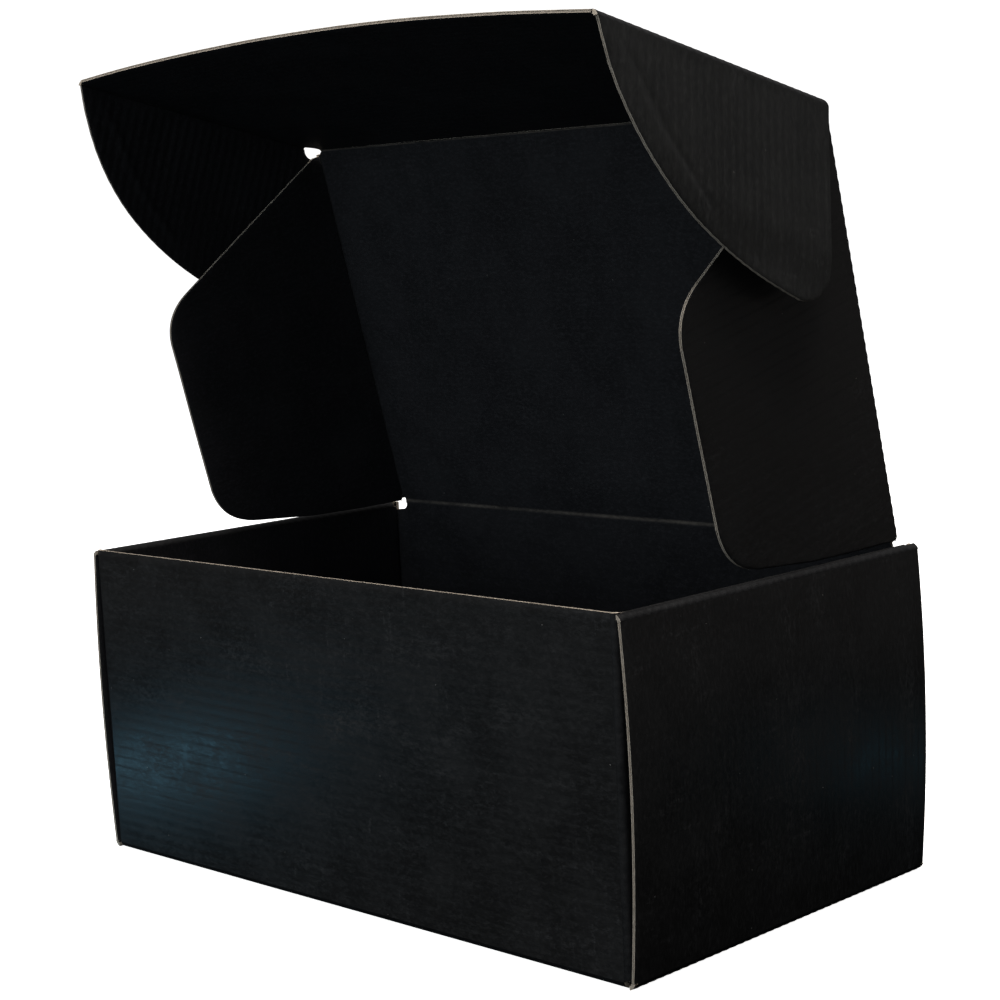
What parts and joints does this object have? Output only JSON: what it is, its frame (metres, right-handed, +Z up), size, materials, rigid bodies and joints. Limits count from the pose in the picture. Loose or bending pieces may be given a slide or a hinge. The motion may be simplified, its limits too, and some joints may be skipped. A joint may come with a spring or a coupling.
{
  "type": "corrugated mailer box",
  "caption": "Roll-end tuck-front mailer box in black corrugated board, lid open, with a folding lid, tuck, lid side flaps and tuck ears.",
  "frame": {"origin": "middle of the underside of the base", "axes": "+X the box's right, +Y its back, where the lid is hinged, +Z up; the tuck comes down at -Y"},
  "size_m": [0.2262, 0.1264, 0.2419],
  "materials": {
    "black_outside": "satin black printed liner over fine flute ridges",
    "black_inside": "matt black printed liner over fine flute ridges",
    "crushed_crease": "crushed and slightly worn black liner",
    "kraft_edge": "raw cut edge, pale kraft paper and flutes"
  },
  "bodies": {
    "walls_and_base": {"base_panel": "black_outside", "base_front_crease": "crushed_crease", "base_back_crease": "crushed_crease", "base_left_crease": "crushed_crease", "base_right_crease": "crushed_crease", "front_wall": "black_outside", "back_wall": "black_outside", "left_outer_wall": "black_outside", "left_roll_outer_crease": "crushed_crease", "left_roll_strip": "black_outside", "left_roll_inner_crease": "crushed_crease", "left_inner_wall": "black_inside", "right_outer_wall": "black_outside", "right_roll_outer_crease": "crushed_crease", "right_roll_strip": "black_outside", "right_roll_inner_crease": "crushed_crease", "right_inner_wall": "black_inside", "front_left_tab": "black_inside", "front_left_tab_crease": "crushed_crease", "front_right_tab": "black_inside", "front_right_tab_crease": "crushed_crease", "back_left_tab": "black_inside", "back_left_tab_crease": "crushed_crease", "back_right_tab": "black_inside", "back_right_tab_crease": "crushed_crease"},
    "lid": {"lid_panel": "black_outside", "lid_crease": "crushed_crease"},
    "tuck": {"tuck_panel": "black_outside", "tuck_crease": "crushed_crease"},
    "left_flap": {"left_lid_flap": "black_outside", "left_lid_flap_crease": "crushed_crease"},
    "right_flap": {"right_lid_flap": "black_outside", "right_lid_flap_crease": "crushed_crease"},
    "left_ear": {"left_tuck_ear": "black_outside", "left_tuck_ear_crease": "crushed_crease"},
    "right_ear": {"right_tuck_ear": "black_outside", "right_tuck_ear_crease": "crushed_crease"}
  },
  "joints": [
    {"name": "lid_hinge", "type": "hinge", "parent": "walls_and_base", "child": "lid", "pos_m": [0, 0.06258, 0.0955], "axis": [-1, 0, 0], "range_deg": [-38, 103.8]},
    {"name": "tuck_hinge", "type": "hinge", "parent": "lid", "child": "tuck", "pos_m": [0, 0.03307, 0.21563], "axis": [-1, 0, 0], "range_deg": [-26.6, 63.4]},
    {"name": "left_flap_hinge", "type": "hinge", "parent": "lid", "child": "left_flap", "pos_m": [-0.10237, 0.06258, 0.0955], "axis": [0, 0.2385, -0.9711], "range_deg": [-1.2, 88.8]},
    {"name": "left_ear_hinge", "type": "hinge", "parent": "tuck", "child": "left_ear", "pos_m": [-0.10393, 0.03307, 0.21563], "axis": [0, 0.9751, -0.2215], "range_deg": [-1.2, 81]},
    {"name": "right_flap_hinge", "type": "hinge", "parent": "lid", "child": "right_flap", "pos_m": [0.10237, 0.06258, 0.0955], "axis": [0, -0.2385, 0.9711], "range_deg": [-1.2, 88.8]},
    {"name": "right_ear_hinge", "type": "hinge", "parent": "tuck", "child": "right_ear", "pos_m": [0.10393, 0.03307, 0.21563], "axis": [0, -0.9751, 0.2215], "range_deg": [-1.2, 81]}
  ],
  "couplings": [
    {"joint": "left_ear_hinge", "follows": "left_flap_hinge", "ratio": 0.91216},
    {"joint": "right_ear_hinge", "follows": "right_flap_hinge", "ratio": 0.91216}
  ]
}
